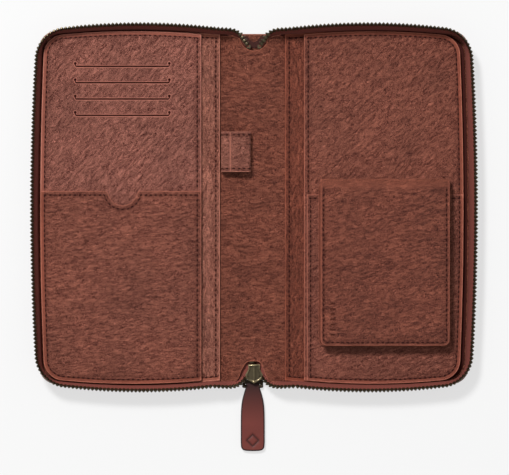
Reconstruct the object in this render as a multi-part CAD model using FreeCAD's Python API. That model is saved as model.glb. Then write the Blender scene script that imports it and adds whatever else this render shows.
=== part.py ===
"""Travel document organizer: a zip-round leather wallet lying open and flat, inside up.

Millimetres. +Z is up, +X points to the right cover and +Y along the spine to its top end. The origin is
the centre of the spine's outer face, which rests on the table. Each function returns the solids of a few
pieces by name, and every piece is written to its own STEP file.
"""

import FreeCAD, Part
import math
import os

from FreeCAD import Vector

# Covers: each half is a flat leather cover round a board, and folds up on the spine's edge.
SPINE_HALF = 14.0          # spine centre to each fold
COVER_X = 136.9            # spine centre to a cover's outer edge, at the fullest point of its bow
COVER_Y = 113.0            # middle of the spine to a cover's top edge, at the fullest point
COVER_RADIUS = 11.0
EDGE_BOW = 2.4             # how far each long edge bows out between its corners
LEATHER = 1.4              # thickness of the outer leather
BOARD = 0.8
LINING = 0.3
PANEL = 0.9                # thickness of an inner leather panel
FOLD_GAP = 0.05            # slit between the spine leather and each cover at the fold
BOARD_IN = 16.5            # spine centre to the stiff board's edge, clear of the fold

# Inner panels: they share one outline and differ in where their open, spine-side edge lies.
PANEL_X = 133.5
RIGHT_PANEL_X = 131.0      # the right panels stop short, where the zip's tape stands clear of them
PANEL_Y = 110.2
PANEL_RADIUS = 13.0
PANEL_BOW = 2.0
WELT = 2.5                 # width of the sewn rim that closes a pocket
DOCUMENT_EDGE_LEFT = 21.3  # spine centre to the left document panel's free edge
DOCUMENT_EDGE_RIGHT = 19.4
CARD_EDGE = 32.9           # spine centre to the card panel's free edge
FACING_EDGE = 31.3         # spine centre to the right facing panel's free edge
THICK_POCKET = 1.5         # clear depth, lying empty, of a pocket that takes a passport or papers
FLAT_POCKET = 0.6          # clear depth of a pocket that takes a sheet of paper

# Card slots
SLOT_X = -82.3
SLOT_LENGTH = 59.5
SLOT_WIDTH = 0.7
SLOT_TOP = 88.4
SLOT_PITCH = 10.2
SLOT_COUNT = 4
SLOT_END_RISE = 1.6        # the ends of each slot turn up to a small punched hole
SLOT_HOLE_RADIUS = 0.65
CARD_POCKET_DEPTH = 78.0
CARD_POCKET_MARGIN = 3.0
CARD_POCKET_SHEET = 0.18
CARD_POCKET_STEP = 0.23

# Passport pocket
PASSPORT_TOP = 10.3
THUMB_X = -82.1
THUMB_RADIUS = 10.3

# Slip pocket and coin pouch on the right cover
SLIP_TOP = 8.1
SLIP_EDGE = 33.0
POUCH_LEFT = 41.4
POUCH_RIGHT = 121.9
POUCH_TOP = 16.2
POUCH_BOTTOM = -86.2
POUCH_CORNER = 4.0
POUCH_CAVITY = 4.4
POUCH_WALL = 1.4
FLAP_GAP = 0.2
FLAP_FOLD_Y = 17.9         # outside of the fold over the pouch's top
CREASE_GAP = 0.1           # slit between the fold's upright strip and the flap
MAGNET_RADIUS = 6.5
MAGNET_THICK = 0.8
MAGNET_Y = -72.0

# Pen loop
LOOP_X = (-20.6, -2.0)
LOOP_Y = (22.2, 47.3)
LOOP_Z = (3.1, 9.3)
LOOP_WALL = 0.9

# Zip: a metal-tooth chain on a tape that stands up from each cover's edge
TAPE = 0.7
TAPE_BASE_X = 135.4
TAPE_BASE_Y = 111.6
TAPE_TOP_X = 138.65
TAPE_TOP_Y = 114.45
TAPE_BASE_RADIUS = 12.0
TAPE_TOP_RADIUS = 20.0
TAPE_END = 22.0            # spine centre to the end of each half's standing tape
TAPE_BOTTOM_Z = 2.6
TAPE_STRAIGHT_Z = 12.3
TAPE_EDGE_Z = 13.8
TOOTH_PITCH = 2.45
TOOTH_LENGTH = 1.25        # along the tape
TOOTH_THICK = 2.4          # across the tape
TOOTH_HEIGHT = 2.8
TOOTH_SLOT = 0.9
TOOTH_SLOT_DEPTH = 1.5

# Spine and its notched ends
SPINE_TOP_Y = 108.7
SPINE_BOTTOM_Y = -110.3
SPINE_BOARD_HALF = 12.0
SPINE_BOARD = 0.5
SPINE_LINING = 0.8
HOOD_HALF = 12.5           # half width of the lining, which rises over the zip's ends
HOOD_Z = 5.6               # underside of the raised lining
HOOD_START = 70.0
HOOD_LEVEL = 86.0
TOP_NOTCH_RADIUS = 8.6
TOP_NOTCH_DEPTH_Y = 98.0
FOOT_NOTCH_Y = -96.4       # inner end of the flared notch over the slider
FOOT_NOTCH_TOP = (-4.7, 3.8)
FOOT_NOTCH_MOUTH = (-10.8, 8.4)
CUTOUT_HALF = 9.0
CUTOUT_Y = -99.0

# Ends of the zip in the spine: a short closed tail under the lining at the foot, two free ends at the top
TAIL_TAPE_X = (1.5, 7.0)
TAIL_TAPE_Z = 3.9
TAIL_END_Y = -97.6
TAIL_START_Y = -87.0
TAIL_TOOTH_X = 2.9
TAIL_ROWS = 4
BOTTOM_STOP_HALF = 2.6
BOTTOM_STOP_Y = (-86.8, -84.4)
BOTTOM_STOP_Z = (2.9, 5.1)
HEAD_START = (3.4, 102.6)
HEAD_MIDDLE = (4.6, 107.0)
HEAD_END = (8.0, 110.4)
HEAD_TAPE_Z = (2.9, 6.9)
HEAD_TOOTH_Z = 5.6
TOP_STOP_HALF = 1.2
TOP_STOP_Y = (99.4, 101.6)
TOP_STOP_Z = (3.2, 6.6)

# Slider, its link and the leather puller
SLIDER_TOP_Y = -98.1
SLIDER_NECK_Y = -101.2
SLIDER_SHOULDER_Y = -104.6
SLIDER_CHEEK_Y = -107.4
SLIDER_TIP_Y = -109.9
SLIDER_HALF = 5.4
SLIDER_CHEEK = 4.6
SLIDER_NECK = 3.6
SLIDER_LIP = 0.6           # width of the lips that keep the teeth in the slider
SLIDER_LIP_HEIGHT = 0.5
POST_HALF = 1.6            # wedge that parts the two rows of teeth
POST_TIP_Y = -108.7
POST_WIDE_Y = -105.6
POST_TOP_Y = -103.1
LOWER_PLATE_Z = (2.4, 3.2)
UPPER_PLATE_Z = (5.3, 6.1)
BRIDGE_Z = (0.2, 1.0)
BRIDGE_HALF = 1.1
BRIDGE_REACH = 3.2         # from the link's pivot to each end of the bridge
BRIDGE_LEG = 1.0
LINK_PIVOT_Y = -104.0
LINK_BAR_Y = -112.0
LINK_BAR_Z = 1.6
LINK_HALF = 5.6
LINK_WIRE = 0.5            # radius of the link's arms
PIVOT_WIRE = 0.45
PULLER_WIRE = 0.6
EYE_RADIUS = 0.75          # channel through the puller for the link
PULLER_X = -0.8
PULLER_TOP_Y = -110.6
PULLER_NECK_Y = -114.6
PULLER_FLARE_Y = -122.6
PULLER_FULL_Y = -130.6
PULLER_END_Y = -152.6
PULLER_NECK = 4.5
PULLER_NECK_LOW = 4.9
PULLER_FLARE = 6.7
PULLER_HALF = 7.5
PULLER_CORNER = 3.0
PULLER_THICK = 2.2

BOARD_TOP = LEATHER + BOARD
LINING_TOP = BOARD_TOP + LINING
BIG = 400.0


def box(x_range, y_range, z_range):
    """Upright box between two values on each axis."""
    size = [high - low for low, high in (x_range, y_range, z_range)]
    return Part.makeBox(*size, Vector(x_range[0], y_range[0], z_range[0]))


def prism(points, z_low, z_high):
    """Upright solid over a closed polygon of (x, y) points."""
    corners = [Vector(x, y, z_low) for x, y in points]
    face = Part.Face(Part.makePolygon(corners + corners[:1]))
    return face.extrude(Vector(0, 0, z_high - z_low))


def disc(x, y, radius, z_low, z_high):
    """Upright cylinder."""
    return Part.makeCylinder(radius, z_high - z_low, Vector(x, y, z_low))


def mirrored(shape):
    """The same shape on the other side of the spine."""
    return shape.mirror(Vector(0, 0, 0), Vector(1, 0, 0))


def on_side(shape, side):
    """A shape drawn for the right cover, moved to the side asked for."""
    return shape if side > 0 else mirrored(shape)


def half_edges(x_in, x_out, y_out, radius, bow, z):
    """The three bowed edges and two round corners of a right-hand layer, from bottom to top."""
    x_corner = x_out - bow
    y_corner = y_out - bow
    inset = radius * (1 - math.sqrt(0.5))
    x_mid = (x_in + x_corner - radius) / 2
    lower = [
        (x_in, -y_corner),
        (x_mid, -y_out),
        (x_corner - radius, -y_corner),
        (x_corner - inset, inset - y_corner),
        (x_corner, radius - y_corner),
    ]
    upper = [(x, -y) for x, y in reversed(lower)]
    points = [Vector(x, y, z) for x, y in lower + [(x_out, 0)] + upper]
    return [Part.Arc(*points[i : i + 3]).toShape() for i in range(0, len(points) - 2, 2)]


def half_outline(x_in, x_out, y_out, radius, bow, z):
    """Closed outline of one layer, straight along its spine-side edge."""
    edges = half_edges(x_in, x_out, y_out, radius, bow, z)
    start = edges[0].Vertexes[0].Point
    end = edges[-1].Vertexes[-1].Point
    return Part.Wire(edges + [Part.makeLine(end, start)])


def layer(x_in, x_out, y_out, radius, bow, z_low, z_high):
    """Flat layer of one cover."""
    face = Part.Face(half_outline(x_in, x_out, y_out, radius, bow, z_low))
    return face.extrude(Vector(0, 0, z_high - z_low))


def panel(x_in, z_low, z_high, inset=0.0, x_out=PANEL_X):
    """Inner leather panel whose spine-side edge is x_in from the spine's centre."""
    radius = PANEL_RADIUS - inset
    return layer(x_in, x_out - inset, PANEL_Y - inset, radius, PANEL_BOW, z_low, z_high)


def right_panel(x_in, z_low, z_high, inset=0.0):
    """Inner leather panel of the right cover."""
    return panel(x_in, z_low, z_high, inset, RIGHT_PANEL_X)


def rim(x_in, z_low, z_high, make=panel):
    """Sewn rim that joins two layers round their three outer sides and leaves the spine side open."""
    hole = make(x_in - WELT, z_low, z_high, WELT)
    return make(x_in, z_low, z_high).cut(hole)


def cover_pieces(side, name):
    """Outer leather, stiff board and textile lining of one cover."""
    leather = layer(SPINE_HALF, COVER_X, COVER_Y, COVER_RADIUS, EDGE_BOW, 0, LEATHER)
    board = panel(BOARD_IN, LEATHER, BOARD_TOP)
    lining = panel(BOARD_IN, BOARD_TOP, LINING_TOP)
    return {
        name + "_cover": on_side(leather, side),
        name + "_board": on_side(board, side),
        name + "_lining": on_side(lining, side),
    }


def tooth():
    """One zip tooth astride the tape's edge: along X, thickness in Y, slot opening downwards."""
    half = TOOTH_THICK / 2
    slot = TOOTH_SLOT / 2
    head = half * 0.55
    profile = [
        (-half, 0),
        (-slot, 0),
        (-slot, TOOTH_SLOT_DEPTH),
        (slot, TOOTH_SLOT_DEPTH),
        (slot, 0),
        (half, 0),
        (half, TOOTH_SLOT_DEPTH + 0.3),
        (head, TOOTH_HEIGHT),
        (-head, TOOTH_HEIGHT),
        (-half, TOOTH_SLOT_DEPTH + 0.3),
    ]
    corners = [Vector(-TOOTH_LENGTH / 2, y, z) for y, z in profile]
    face = Part.Face(Part.makePolygon(corners + corners[:1]))
    return face.extrude(Vector(TOOTH_LENGTH, 0, 0))


def placed_tooth(point, along, head):
    """A tooth at a point, running along the tape with its head in the direction given."""
    across = head.cross(along)
    matrix = FreeCAD.Matrix(
        along.x, across.x, head.x, point.x,
        along.y, across.y, head.y, point.y,
        along.z, across.z, head.z, point.z,
    )
    copy = tooth()
    copy.Placement = FreeCAD.Placement(matrix)
    return copy


def teeth_along(wire, z, head):
    """Teeth at the zip's pitch along a level path."""
    count = int(wire.Length / TOOTH_PITCH)
    points = wire.discretize(Number=2 * count + 1)
    solids = []
    for i in range(1, 2 * count, 2):
        along = (points[i + 1] - points[i - 1]).normalize()
        solids.append(placed_tooth(Vector(points[i].x, points[i].y, z), along, head))
    return solids


def zip_side(side, name):
    """Standing tape and teeth round one cover, from one end of the spine to the other."""
    def wall(inset):
        base = (TAPE_BASE_X - inset, TAPE_BASE_Y - inset, TAPE_BASE_RADIUS - inset, EDGE_BOW)
        top = (TAPE_TOP_X - inset, TAPE_TOP_Y - inset, TAPE_TOP_RADIUS - inset, EDGE_BOW)
        levels = ((TAPE_BOTTOM_Z, base), (TAPE_STRAIGHT_Z, top), (TAPE_EDGE_Z, top))
        return Part.makeLoft([half_outline(TAPE_END, *size, z) for z, size in levels], True, True)

    tape = wall(0).cut(wall(TAPE))
    middle = TAPE / 2
    path = Part.Wire(half_edges(TAPE_END, TAPE_TOP_X - middle, TAPE_TOP_Y - middle,
                                TAPE_TOP_RADIUS - middle, EDGE_BOW, 0))
    base_z = TAPE_EDGE_Z - TOOTH_SLOT_DEPTH + 0.1
    teeth = Part.makeCompound(teeth_along(path, base_z, Vector(0, 0, 1)))
    return {
        name + "_zip_tape": on_side(tape, side),
        name + "_zip_teeth": on_side(teeth, side),
    }


def slot_cut(y, z_low, z_high):
    """One card slot: a long slit whose ends turn up to small punched holes."""
    half = SLOT_LENGTH / 2
    left = SLOT_X - half
    right = SLOT_X + half
    z_range = (z_low, z_high)
    cut = box((left, right), (y, y + SLOT_WIDTH), z_range)
    for x in (left, right - SLOT_WIDTH):
        rise = box((x, x + SLOT_WIDTH), (y, y + SLOT_END_RISE), z_range)
        hole = disc(x + SLOT_WIDTH / 2, y + SLOT_END_RISE, SLOT_HOLE_RADIUS, z_low, z_high)
        cut = cut.fuse(rise).fuse(hole)
    return cut


def left_inside():
    """Document pocket, slotted card panel with its textile pockets, and passport pocket."""
    document_z = LINING_TOP + THICK_POCKET
    document_top = document_z + PANEL
    sheets_z = document_top + 0.1
    card_z = sheets_z + SLOT_COUNT * CARD_POCKET_STEP + 0.05
    card_top = card_z + PANEL
    passport_z = card_top + THICK_POCKET
    passport_top = passport_z + PANEL
    pieces = {
        "left_edge_welt": mirrored(rim(DOCUMENT_EDGE_LEFT, LINING_TOP, document_z)),
        "left_document_panel": mirrored(panel(DOCUMENT_EDGE_LEFT, document_z, document_top)),
    }
    card_panel = mirrored(panel(CARD_EDGE, card_z, card_top))
    for number in range(SLOT_COUNT):
        y = SLOT_TOP - number * SLOT_PITCH
        card_panel = card_panel.cut(slot_cut(y, card_z, card_top))
        half = SLOT_LENGTH / 2 + CARD_POCKET_MARGIN
        z_low = card_z - (number + 1) * CARD_POCKET_STEP
        sheet = box((SLOT_X - half, SLOT_X + half), (y - CARD_POCKET_DEPTH, y + CARD_POCKET_MARGIN),
                    (z_low, z_low + CARD_POCKET_SHEET))
        pieces["card_pocket_%d" % (number + 1)] = sheet
    pieces["left_card_panel"] = card_panel
    below = box((-BIG, 0), (-BIG, PASSPORT_TOP), (card_top, passport_top))
    front = panel(CARD_EDGE, passport_z, passport_top)
    sides = panel(CARD_EDGE, card_top, passport_z)
    sides = sides.cut(panel(CARD_EDGE + WELT, card_top, passport_z, WELT))
    pocket = mirrored(front.fuse(sides)).common(below)
    thumb = disc(THUMB_X, PASSPORT_TOP, THUMB_RADIUS, passport_z, passport_top)
    pieces["passport_pocket"] = pocket.cut(thumb)
    return pieces


def pen_loop():
    """Flattened leather loop on the document panel's edge, open at both ends."""
    def tube(inset):
        length = LOOP_Y[1] - LOOP_Y[0]
        z_low = LOOP_Z[0] + inset
        z_high = LOOP_Z[1] - inset
        radius = (z_high - z_low) / 2
        middle = (z_low + z_high) / 2
        left = LOOP_X[0] + inset + radius
        right = LOOP_X[1] - inset - radius
        body = box((left, right), LOOP_Y, (z_low, z_high))
        for x in (left, right):
            end = Part.makeCylinder(radius, length, Vector(x, LOOP_Y[0], middle), Vector(0, 1, 0))
            body = body.fuse(end)
        return body

    return {"pen_loop": tube(0).cut(tube(LOOP_WALL)).removeSplitter()}


def rounded_block(x_range, y_range, z_range, radius):
    """Box with round vertical corners."""
    block = box(x_range, y_range, z_range)
    upright = [e for e in block.Edges if abs(e.Vertexes[0].Z - e.Vertexes[1].Z) > 0.01]
    return block.makeFillet(radius, upright)


def right_inside():
    """Document pocket, facing panel, slip pocket and the coin pouch with its flap."""
    document_z = LINING_TOP + FLAT_POCKET
    document_top = document_z + PANEL
    facing_z = document_top + 0.2
    facing_top = facing_z + PANEL
    slip_z = facing_top + FLAT_POCKET
    slip_top = slip_z + PANEL
    slip_cut = box((0, BIG), (SLIP_TOP, BIG), (facing_top, slip_top))
    slip_front = right_panel(SLIP_EDGE, slip_z, slip_top)
    slip_sides = right_panel(SLIP_EDGE, facing_top, slip_z)
    slip_sides = slip_sides.cut(right_panel(SLIP_EDGE + WELT, facing_top, slip_z, WELT))
    slip = slip_front.fuse(slip_sides).cut(slip_cut)

    cavity_z = slip_top + PANEL
    front_z = cavity_z + POUCH_CAVITY
    front_top = front_z + POUCH_WALL
    flap_z = front_top + FLAP_GAP
    flap_top = flap_z + POUCH_WALL
    x_range = (POUCH_LEFT, POUCH_RIGHT)
    y_range = (POUCH_BOTTOM, POUCH_TOP)
    back = rounded_block(x_range, y_range, (slip_top, cavity_z), POUCH_CORNER)
    gusset = rounded_block(x_range, y_range, (cavity_z, front_z), POUCH_CORNER)
    inner_x = (POUCH_LEFT + POUCH_WALL, POUCH_RIGHT - POUCH_WALL)
    inner_y = (POUCH_BOTTOM + POUCH_WALL, POUCH_TOP + 1)
    gusset = gusset.cut(box(inner_x, inner_y, (cavity_z, front_z)))
    front = rounded_block(x_range, y_range, (front_z, front_top), POUCH_CORNER)
    magnet_x = (POUCH_LEFT + POUCH_RIGHT) / 2

    def recess(z_low):
        return disc(magnet_x, MAGNET_Y, MAGNET_RADIUS + 0.1, z_low, z_low + MAGNET_THICK + 0.15)

    def magnet(z_low):
        return disc(magnet_x, MAGNET_Y, MAGNET_RADIUS, z_low + 0.05, z_low + 0.05 + MAGNET_THICK)

    fold = box(x_range, (FLAP_FOLD_Y - POUCH_WALL, FLAP_FOLD_Y), (cavity_z, flap_z - CREASE_GAP))
    flap = rounded_block(x_range, (POUCH_BOTTOM, POUCH_TOP), (flap_z, flap_top), POUCH_CORNER)
    root = box(x_range, (POUCH_TOP - POUCH_CORNER, FLAP_FOLD_Y), (flap_z, flap_top))
    flap = flap.fuse(root).removeSplitter()
    return {
        "right_edge_welt": rim(DOCUMENT_EDGE_RIGHT, LINING_TOP, document_z, right_panel),
        "right_document_panel": right_panel(DOCUMENT_EDGE_RIGHT, document_z, document_top),
        "right_facing_panel": right_panel(FACING_EDGE, facing_z, facing_top),
        "right_slip_pocket": slip,
        "pouch_back": back,
        "pouch_gusset": gusset,
        "pouch_front": front.cut(recess(front_z)),
        "pouch_magnet": magnet(front_z),
        "pouch_fold": fold,
        "pouch_flap": flap.cut(recess(flap_z)),
        "flap_magnet": magnet(flap_z),
    }


def spine_pieces():
    """Outer leather, stiffener and lining of the spine, notched at both ends for the zip."""
    cover_x = (FOLD_GAP - SPINE_HALF, SPINE_HALF - FOLD_GAP)
    cover = box(cover_x, (SPINE_BOTTOM_Y, SPINE_TOP_Y), (0, LEATHER))
    cutout = box((-CUTOUT_HALF, CUTOUT_HALF), (-BIG, CUTOUT_Y), (0, LEATHER))
    board_z = LEATHER + SPINE_BOARD
    board = box((-SPINE_BOARD_HALF, SPINE_BOARD_HALF), (-HOOD_LEVEL, HOOD_LEVEL), (LEATHER, board_z))
    high = HOOD_Z + SPINE_LINING
    low = board_z + SPINE_LINING
    profile = [
        (SPINE_BOTTOM_Y, HOOD_Z),
        (-HOOD_LEVEL, HOOD_Z),
        (-HOOD_START, board_z),
        (HOOD_START, board_z),
        (HOOD_LEVEL, HOOD_Z),
        (SPINE_TOP_Y, HOOD_Z),
        (SPINE_TOP_Y, high),
        (HOOD_LEVEL, high),
        (HOOD_START, low),
        (-HOOD_START, low),
        (-HOOD_LEVEL, high),
        (SPINE_BOTTOM_Y, high),
    ]
    corners = [Vector(-HOOD_HALF, y, z) for y, z in profile]
    lining = Part.Face(Part.makePolygon(corners + corners[:1])).extrude(Vector(2 * HOOD_HALF, 0, 0))
    notch_y = TOP_NOTCH_DEPTH_Y + TOP_NOTCH_RADIUS
    top_notch = disc(0, notch_y, TOP_NOTCH_RADIUS, 0, BIG)
    top_notch = top_notch.fuse(box((-TOP_NOTCH_RADIUS, TOP_NOTCH_RADIUS), (notch_y, BIG), (0, BIG)))
    mouth_y = SPINE_BOTTOM_Y - 0.2
    inner_end = [(x, FOOT_NOTCH_Y) for x in FOOT_NOTCH_TOP]
    mouth = [(x, mouth_y) for x in reversed(FOOT_NOTCH_MOUTH)]
    foot_notch = prism(inner_end + mouth, 0, BIG)
    return {
        "spine_cover": cover.cut(cutout),
        "spine_board": board,
        "spine_lining": lining.cut(top_notch).cut(foot_notch),
    }


def tail_of_zip():
    """The closed tail of the zip under the lining's foot, with the staple that ends it."""
    tape_z = (TAIL_TAPE_Z, TAIL_TAPE_Z + TAPE)
    tape_y = (TAIL_END_Y, TAIL_START_Y)
    inner, outer = TAIL_TAPE_X
    tape = [box(x_range, tape_y, tape_z) for x_range in ((-outer, -inner), (inner, outer))]
    teeth = []
    for row in range(TAIL_ROWS):
        for side in (-1, 1):
            shift = TOOTH_PITCH / 2 if side > 0 else 0
            y = TAIL_END_Y + 1 + row * TOOTH_PITCH + shift
            point = Vector(side * TAIL_TOOTH_X, y, sum(tape_z) / 2)
            teeth.append(placed_tooth(point, Vector(0, 1, 0), Vector(-side, 0, 0)))
    return {
        "tail_tape": Part.makeCompound(tape),
        "tail_teeth": Part.makeCompound(teeth),
        "bottom_stop": box((-BOTTOM_STOP_HALF, BOTTOM_STOP_HALF), BOTTOM_STOP_Y, BOTTOM_STOP_Z),
    }


def head_of_zip():
    """The zip's two free ends in the spine's top notch, each closed by a stop."""
    tape = []
    teeth = []
    stops = {}
    for side, name in ((-1, "left"), (1, "right")):
        route = [Vector(side * x, y, 0) for x, y in (HEAD_START, HEAD_MIDDLE, HEAD_END)]
        path = Part.Wire([Part.Arc(*route).toShape()])
        strip = path.makeOffset2D(TAPE / 2, fill=True, openResult=False)
        strip.translate(Vector(0, 0, HEAD_TAPE_Z[0]))
        tape.append(strip.extrude(Vector(0, 0, HEAD_TAPE_Z[1] - HEAD_TAPE_Z[0])))
        teeth += teeth_along(path, HEAD_TOOTH_Z, Vector(0, 0, 1))
        middle = side * HEAD_START[0]
        stop_x = (middle - TOP_STOP_HALF, middle + TOP_STOP_HALF)
        stops[name + "_top_stop"] = box(stop_x, TOP_STOP_Y, TOP_STOP_Z)
    return {
        "head_tape": Part.makeCompound(tape),
        "head_teeth": Part.makeCompound(teeth),
        **stops,
    }


def slider():
    """Two plates joined by a wedge, lips that keep the teeth in, and a bridge for the link outside."""
    outline = [
        (SLIDER_NECK, SLIDER_TOP_Y),
        (SLIDER_NECK, SLIDER_NECK_Y),
        (SLIDER_HALF, SLIDER_SHOULDER_Y),
        (SLIDER_CHEEK, SLIDER_CHEEK_Y),
        (0, SLIDER_TIP_Y),
    ]
    outline += [(-x, y) for x, y in reversed(outline[:-1])]
    post = [(0, POST_TIP_Y), (POST_HALF, POST_WIDE_Y), (0, POST_TOP_Y), (-POST_HALF, POST_WIDE_Y)]
    low = LOWER_PLATE_Z[1]
    high = UPPER_PLATE_Z[0]
    body = prism(outline, *UPPER_PLATE_Z).fuse(prism(outline, *LOWER_PLATE_Z))
    body = body.fuse(prism(post, low, high))
    lip_y = (SLIDER_NECK_Y, SLIDER_TOP_Y)
    for x in (-SLIDER_NECK, SLIDER_NECK - SLIDER_LIP):
        lip_x = (x, x + SLIDER_LIP)
        body = body.fuse(box(lip_x, lip_y, (low, low + SLIDER_LIP_HEIGHT)))
        body = body.fuse(box(lip_x, lip_y, (high - SLIDER_LIP_HEIGHT, high)))
    bridge_x = (-BRIDGE_HALF, BRIDGE_HALF)
    bridge_y = (LINK_PIVOT_Y - BRIDGE_REACH, LINK_PIVOT_Y + BRIDGE_REACH)
    body = body.fuse(box(bridge_x, bridge_y, BRIDGE_Z))
    for y in (bridge_y[0], bridge_y[1] - BRIDGE_LEG):
        body = body.fuse(box(bridge_x, (y, y + BRIDGE_LEG), (BRIDGE_Z[1], LOWER_PLATE_Z[0])))
    return {"slider_body": body.removeSplitter()}


def rod_across(y, radius, half):
    """Round bar through the puller's axis, along X."""
    start = Vector(PULLER_X - half, y, LINK_BAR_Z)
    return Part.makeCylinder(radius, 2 * half, start, Vector(1, 0, 0))


def puller():
    """Wire link through the slider's bridge, and the leather tab folded round its outer bar."""
    link = rod_across(LINK_PIVOT_Y, PIVOT_WIRE, LINK_HALF)
    link = link.fuse(rod_across(LINK_BAR_Y, PULLER_WIRE, LINK_HALF))
    for x in (PULLER_X - LINK_HALF, PULLER_X + LINK_HALF):
        start = Vector(x, LINK_BAR_Y, LINK_BAR_Z)
        link = link.fuse(Part.makeCylinder(LINK_WIRE, LINK_PIVOT_Y - LINK_BAR_Y, start, Vector(0, 1, 0)))
        for y in (LINK_PIVOT_Y, LINK_BAR_Y):
            link = link.fuse(Part.makeSphere(PULLER_WIRE, Vector(x, y, LINK_BAR_Z)))

    near_corner = PULLER_CORNER * 0.3
    half_width = [
        (PULLER_NECK, PULLER_TOP_Y),
        (PULLER_NECK_LOW, PULLER_NECK_Y),
        (PULLER_FLARE, PULLER_FLARE_Y),
        (PULLER_HALF, PULLER_FULL_Y),
        (PULLER_HALF, PULLER_END_Y + PULLER_CORNER),
        (PULLER_HALF - near_corner, PULLER_END_Y + near_corner),
        (PULLER_HALF - PULLER_CORNER, PULLER_END_Y),
    ]
    outline = [(PULLER_X + x, y) for x, y in half_width]
    outline += [(PULLER_X - x, y) for x, y in reversed(half_width)]
    tab = prism(outline, LINK_BAR_Z - PULLER_THICK / 2, LINK_BAR_Z + PULLER_THICK / 2)
    return {
        "puller_link": link,
        "puller_tab": tab.cut(rod_across(LINK_BAR_Y, EYE_RADIUS, PULLER_HALF)),
    }


def all_pieces():
    """Every piece of the wallet by name."""
    pieces = {}
    for side, name in ((-1, "left"), (1, "right")):
        pieces.update(cover_pieces(side, name))
        pieces.update(zip_side(side, name))
    pieces.update(left_inside())
    pieces.update(pen_loop())
    pieces.update(right_inside())
    pieces.update(spine_pieces())
    pieces.update(tail_of_zip())
    pieces.update(head_of_zip())
    pieces.update(slider())
    pieces.update(puller())
    return pieces


os.makedirs("parts", exist_ok=True)
for name, shape in all_pieces().items():
    if not shape.isValid():
        raise ValueError(name + " isn't a valid solid")
    print(name, len(shape.Solids), round(shape.Volume, 1))
    shape.exportStep("parts/%s.step" % name)
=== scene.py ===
import math

import bpy
import numpy as np
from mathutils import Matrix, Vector, geometry, noise


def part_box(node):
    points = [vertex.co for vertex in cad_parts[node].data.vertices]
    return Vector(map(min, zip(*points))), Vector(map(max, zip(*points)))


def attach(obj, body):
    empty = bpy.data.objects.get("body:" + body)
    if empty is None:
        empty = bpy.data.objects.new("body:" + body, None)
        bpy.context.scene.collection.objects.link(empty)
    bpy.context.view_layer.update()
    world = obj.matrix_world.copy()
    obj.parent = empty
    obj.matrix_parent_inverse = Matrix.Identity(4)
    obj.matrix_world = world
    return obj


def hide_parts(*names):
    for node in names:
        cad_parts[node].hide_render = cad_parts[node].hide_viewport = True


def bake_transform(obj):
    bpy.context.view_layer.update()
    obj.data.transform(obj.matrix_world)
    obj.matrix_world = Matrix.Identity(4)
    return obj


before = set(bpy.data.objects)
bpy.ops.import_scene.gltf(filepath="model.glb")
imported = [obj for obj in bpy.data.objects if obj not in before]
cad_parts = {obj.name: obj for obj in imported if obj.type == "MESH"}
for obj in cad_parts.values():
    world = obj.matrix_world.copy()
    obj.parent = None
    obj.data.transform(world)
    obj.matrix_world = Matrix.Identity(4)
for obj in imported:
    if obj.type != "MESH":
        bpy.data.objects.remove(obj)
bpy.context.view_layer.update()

# ---------------------------------------------------------------------------------------------------
# The table top, the light and the camera. The wallet lies on a plain white sheet under a large window
# to its upper left, and is seen from straight above.
# ---------------------------------------------------------------------------------------------------
MM = 0.001
scene = bpy.context.scene
scene.view_settings.view_transform = "Standard"


def set_inputs(tree, node, inputs):
    """Links or sets some of a shader node's inputs."""
    for key, value in inputs.items():
        if isinstance(value, bpy.types.NodeSocket):
            tree.links.new(value, node.inputs[key])
        else:
            node.inputs[key].default_value = value


def from_node(tree, kind, output, inputs=None, **settings):
    """One output of a new shader node, with its settings made and its inputs linked or set."""
    made = tree.nodes.new("ShaderNode" + kind)
    for key, value in settings.items():
        setattr(made, key, value)
    set_inputs(tree, made, inputs or {})
    return made.outputs[output]


def srgb(red, green, blue):
    """A colour given as it looks on a screen, in linear light."""
    values = [x / 255 for x in (red, green, blue)]
    return [x / 12.92 if x <= 0.04045 else ((x + 0.055) / 1.055) ** 2.4 for x in values] + [1.0]


def new_material(name):
    """A material with one principled shader, its tree and that shader."""
    made = bpy.data.materials.new(name)
    made.use_nodes = True
    return made, made.node_tree, made.node_tree.nodes["Principled BSDF"]


paper, tree, shader = new_material("table_paper")
grain = from_node(tree, "TexNoise", "Fac", {"Scale": 900.0, "Detail": 4.0})
fibre = from_node(tree, "Bump", "Normal", {"Strength": 0.05, "Distance": 0.0002, "Height": grain})
set_inputs(tree, shader, {
    "Base Color": srgb(120, 120, 120), "Emission Color": srgb(255, 255, 255), "Emission Strength": 0.65,
    "Roughness": 0.9, "Specular IOR Level": 0.1, "Normal": fibre,
})

bpy.ops.mesh.primitive_grid_add(x_subdivisions=8, y_subdivisions=8, size=6.0, location=(0, 0, -0.0001))
floor = bpy.context.object
floor.name = "floor"
floor.data.materials.append(paper)

sky = bpy.data.worlds.new("white_room")
scene.world = sky
sky.use_nodes = True
sky.node_tree.nodes["Background"].inputs["Color"].default_value = (1.0, 1.0, 1.0, 1.0)
sky.node_tree.nodes["Background"].inputs["Strength"].default_value = 0.52

WINDOW_PLACE = Vector((-0.85, 1.55, 2.3))
lamp = bpy.data.lights.new("window", "AREA")
lamp.size = 0.55
lamp.energy = 112.0
window = bpy.data.objects.new("window", lamp)
scene.collection.objects.link(window)
window.location = WINDOW_PLACE
window.rotation_mode = "QUATERNION"
window.rotation_quaternion = (-WINDOW_PLACE).to_track_quat("-Z", "Y")

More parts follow.
